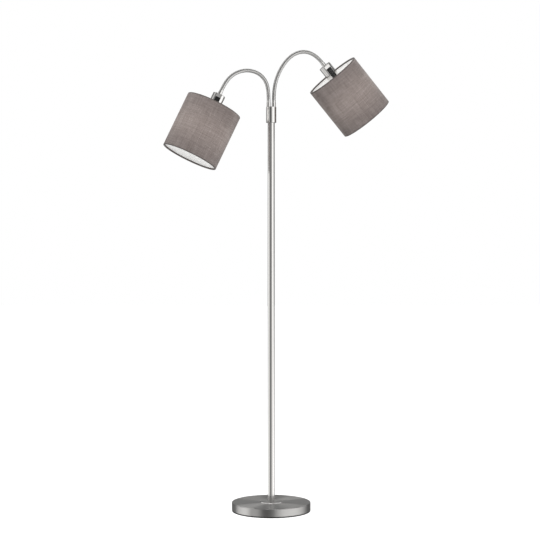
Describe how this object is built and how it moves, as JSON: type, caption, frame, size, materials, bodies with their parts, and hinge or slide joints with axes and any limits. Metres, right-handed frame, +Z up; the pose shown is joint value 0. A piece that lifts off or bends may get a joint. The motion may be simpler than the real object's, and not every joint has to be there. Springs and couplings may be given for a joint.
{
  "type": "floor lamp",
  "caption": "Floor lamp: round weighted base, straight metal pole and bendable gooseneck arms that carry fabric drum shades with rocker switches.",
  "frame": {"origin": "centre of the underside of the base pad, on the floor", "axes": "+Z up along the pole; the front of the lamp faces -Y; +X to the right seen from the front"},
  "size_m": [0.7137, 0.3267, 1.4631],
  "materials": {
    "black_pad": "matt black non-slip pad",
    "cast_iron": "raw casting",
    "brushed_steel": "circular brushed satin",
    "plain_steel": "zinc plated",
    "satin_nickel": "satin nickel plate",
    "ribbed_nickel": "satin nickel plate, spiral ribbed",
    "black_plastic": "satin black",
    "black_rocker": "smooth black",
    "white_plastic": "moulded white",
    "white_wire": "white powder coat",
    "white_liner": "matt white film",
    "grey_linen": "plain linen-look weave, warm grey",
    "bulb_cap": "bright rolled shell",
    "bulb_glass": "opal glass",
    "lead_sheath": "black sheath"
  },
  "bodies": {
    "stand": {"base_pad": "black_pad", "base_weight": "cast_iron", "base_cover": "brushed_steel", "base_rod": "plain_steel", "base_nut": "plain_steel", "base_washer": "plain_steel", "pole_foot_plug": "plain_steel", "pole_top_plug": "plain_steel", "pole_couplers": "plain_steel", "hub_base": "plain_steel", "hub_rod": "plain_steel", "hub_nuts": "plain_steel", "cable_gland": "black_plastic", "pole_lower": "satin_nickel", "pole_middle": "satin_nickel", "pole_upper": "satin_nickel", "hub_cup": "satin_nickel", "arm_sockets": "satin_nickel", "terminal_block": "white_plastic", "mains_lead": "lead_sheath"},
    "left_neck_1": {"left_neck_link_1": "ribbed_nickel"},
    "left_neck_2": {"left_neck_link_2": "ribbed_nickel"},
    "left_neck_3": {"left_neck_link_3": "ribbed_nickel"},
    "left_neck_4": {"left_neck_link_4": "ribbed_nickel"},
    "left_neck_5": {"left_neck_link_5": "ribbed_nickel"},
    "left_neck_6": {"left_neck_link_6": "ribbed_nickel"},
    "left_head": {"left_end_ferrule": "satin_nickel", "left_cup": "satin_nickel", "left_cup_nut": "plain_steel", "left_switch_body": "black_plastic", "left_lampholder": "white_plastic", "left_shade_ring": "white_plastic", "left_shade_spider": "white_wire", "left_bottom_wire": "white_wire", "left_shade_liner": "white_liner", "left_shade_fabric": "grey_linen", "left_bulb_cap": "bulb_cap", "left_bulb_globe": "bulb_glass"},
    "left_switch_rocker": {"left_rocker": "black_rocker"},
    "right_neck_1": {"right_neck_link_1": "ribbed_nickel"},
    "right_neck_2": {"right_neck_link_2": "ribbed_nickel"},
    "right_neck_3": {"right_neck_link_3": "ribbed_nickel"},
    "right_neck_4": {"right_neck_link_4": "ribbed_nickel"},
    "right_neck_5": {"right_neck_link_5": "ribbed_nickel"},
    "right_neck_6": {"right_neck_link_6": "ribbed_nickel"},
    "right_head": {"right_end_ferrule": "satin_nickel", "right_cup": "satin_nickel", "right_cup_nut": "plain_steel", "right_switch_body": "black_plastic", "right_lampholder": "white_plastic", "right_shade_ring": "white_plastic", "right_shade_spider": "white_wire", "right_bottom_wire": "white_wire", "right_shade_liner": "white_liner", "right_shade_fabric": "grey_linen", "right_bulb_cap": "bulb_cap", "right_bulb_globe": "bulb_glass"},
    "right_switch_rocker": {"right_rocker": "black_rocker"}
  },
  "joints": [
    {"name": "left_arm_swing", "type": "hinge", "parent": "stand", "child": "left_neck_1", "pos_m": [-0.00822, -0.00217, 1.298], "axis": [0.9668, 0.2554, 0], "range_deg": [-14, 14]},
    {"name": "left_arm_bend", "type": "hinge", "parent": "left_neck_1", "child": "left_neck_2", "pos_m": [-0.01105, -0.00292, 1.33939], "axis": [0.2554, -0.9668, 0], "range_deg": [-18, 6]},
    {"name": "left_arm_swing_2", "type": "hinge", "parent": "left_neck_2", "child": "left_neck_3", "pos_m": [-0.02955, -0.00781, 1.3755], "axis": [0.6532, 0.1726, 0.7373], "range_deg": [-14, 14]},
    {"name": "left_arm_bend_2", "type": "hinge", "parent": "left_neck_3", "child": "left_neck_4", "pos_m": [-0.06579, -0.01738, 1.39176], "axis": [0.2554, -0.9668, 0], "range_deg": [-21.6, 7.2]},
    {"name": "left_arm_swing_3", "type": "hinge", "parent": "left_neck_4", "child": "left_neck_5", "pos_m": [-0.10509, -0.02777, 1.38556], "axis": [-0.3809, -0.1006, 0.9191], "range_deg": [-14, 14]},
    {"name": "left_arm_bend_3", "type": "hinge", "parent": "left_neck_5", "child": "left_neck_6", "pos_m": [-0.13654, -0.03608, 1.36037], "axis": [0.2554, -0.9668, 0], "range_deg": [-21.6, 7.2]},
    {"name": "left_arm_swing_4", "type": "hinge", "parent": "left_neck_6", "child": "left_head", "pos_m": [-0.15705, -0.04149, 1.32472], "axis": [-0.869, -0.2296, 0.4384], "range_deg": [-14, 14]},
    {"name": "left_switch", "type": "hinge", "parent": "left_head", "child": "left_switch_rocker", "pos_m": [-0.17342, -0.06242, 1.28776], "axis": [-0.9001, -0.0582, 0.4317], "range_deg": [0, 12]},
    {"name": "right_arm_swing", "type": "hinge", "parent": "stand", "child": "right_neck_1", "pos_m": [0.00822, 0.00217, 1.298], "axis": [0.9668, 0.2554, 0], "range_deg": [-14, 14]},
    {"name": "right_arm_bend", "type": "hinge", "parent": "right_neck_1", "child": "right_neck_2", "pos_m": [0.0113, 0.00299, 1.34394], "axis": [-0.2554, 0.9668, 0], "range_deg": [-18, 8]},
    {"name": "right_arm_swing_2", "type": "hinge", "parent": "right_neck_2", "child": "right_neck_3", "pos_m": [0.02448, 0.00647, 1.38783], "axis": [0.877, 0.2317, -0.421], "range_deg": [-14, 14]},
    {"name": "right_arm_bend_2", "type": "hinge", "parent": "right_neck_3", "child": "right_neck_4", "pos_m": [0.04837, 0.01278, 1.42657], "axis": [-0.2554, 0.9668, 0], "range_deg": [-21.6, 9.6]},
    {"name": "right_arm_swing_3", "type": "hinge", "parent": "right_neck_4", "child": "right_neck_5", "pos_m": [0.08411, 0.02222, 1.45327], "axis": [0.3323, 0.0878, -0.9391], "range_deg": [-14, 14]},
    {"name": "right_arm_bend_3", "type": "hinge", "parent": "right_neck_5", "child": "right_neck_6", "pos_m": [0.12765, 0.03373, 1.45245], "axis": [-0.2554, 0.9668, 0], "range_deg": [-21.6, 9.6]},
    {"name": "right_arm_swing_4", "type": "hinge", "parent": "right_neck_6", "child": "right_head", "pos_m": [0.1625, 0.04293, 1.4244], "axis": [-0.7341, -0.194, -0.6508], "range_deg": [-14, 14]},
    {"name": "right_switch", "type": "hinge", "parent": "right_head", "child": "right_switch_rocker", "pos_m": [0.19299, 0.03414, 1.39176], "axis": [-0.7425, -0.1601, -0.6504], "range_deg": [0, 12]}
  ],
  "couplings": [
    {"joint": "left_arm_swing_2", "follows": "left_arm_swing", "ratio": 1},
    {"joint": "left_arm_bend_2", "follows": "left_arm_bend", "ratio": 1.2},
    {"joint": "left_arm_swing_3", "follows": "left_arm_swing", "ratio": 1},
    {"joint": "left_arm_bend_3", "follows": "left_arm_bend", "ratio": 1.2},
    {"joint": "left_arm_swing_4", "follows": "left_arm_swing", "ratio": 1},
    {"joint": "right_arm_swing_2", "follows": "right_arm_swing", "ratio": 1},
    {"joint": "right_arm_bend_2", "follows": "right_arm_bend", "ratio": 1.2},
    {"joint": "right_arm_swing_3", "follows": "right_arm_swing", "ratio": 1},
    {"joint": "right_arm_bend_3", "follows": "right_arm_bend", "ratio": 1.2},
    {"joint": "right_arm_swing_4", "follows": "right_arm_swing", "ratio": 1}
  ]
}
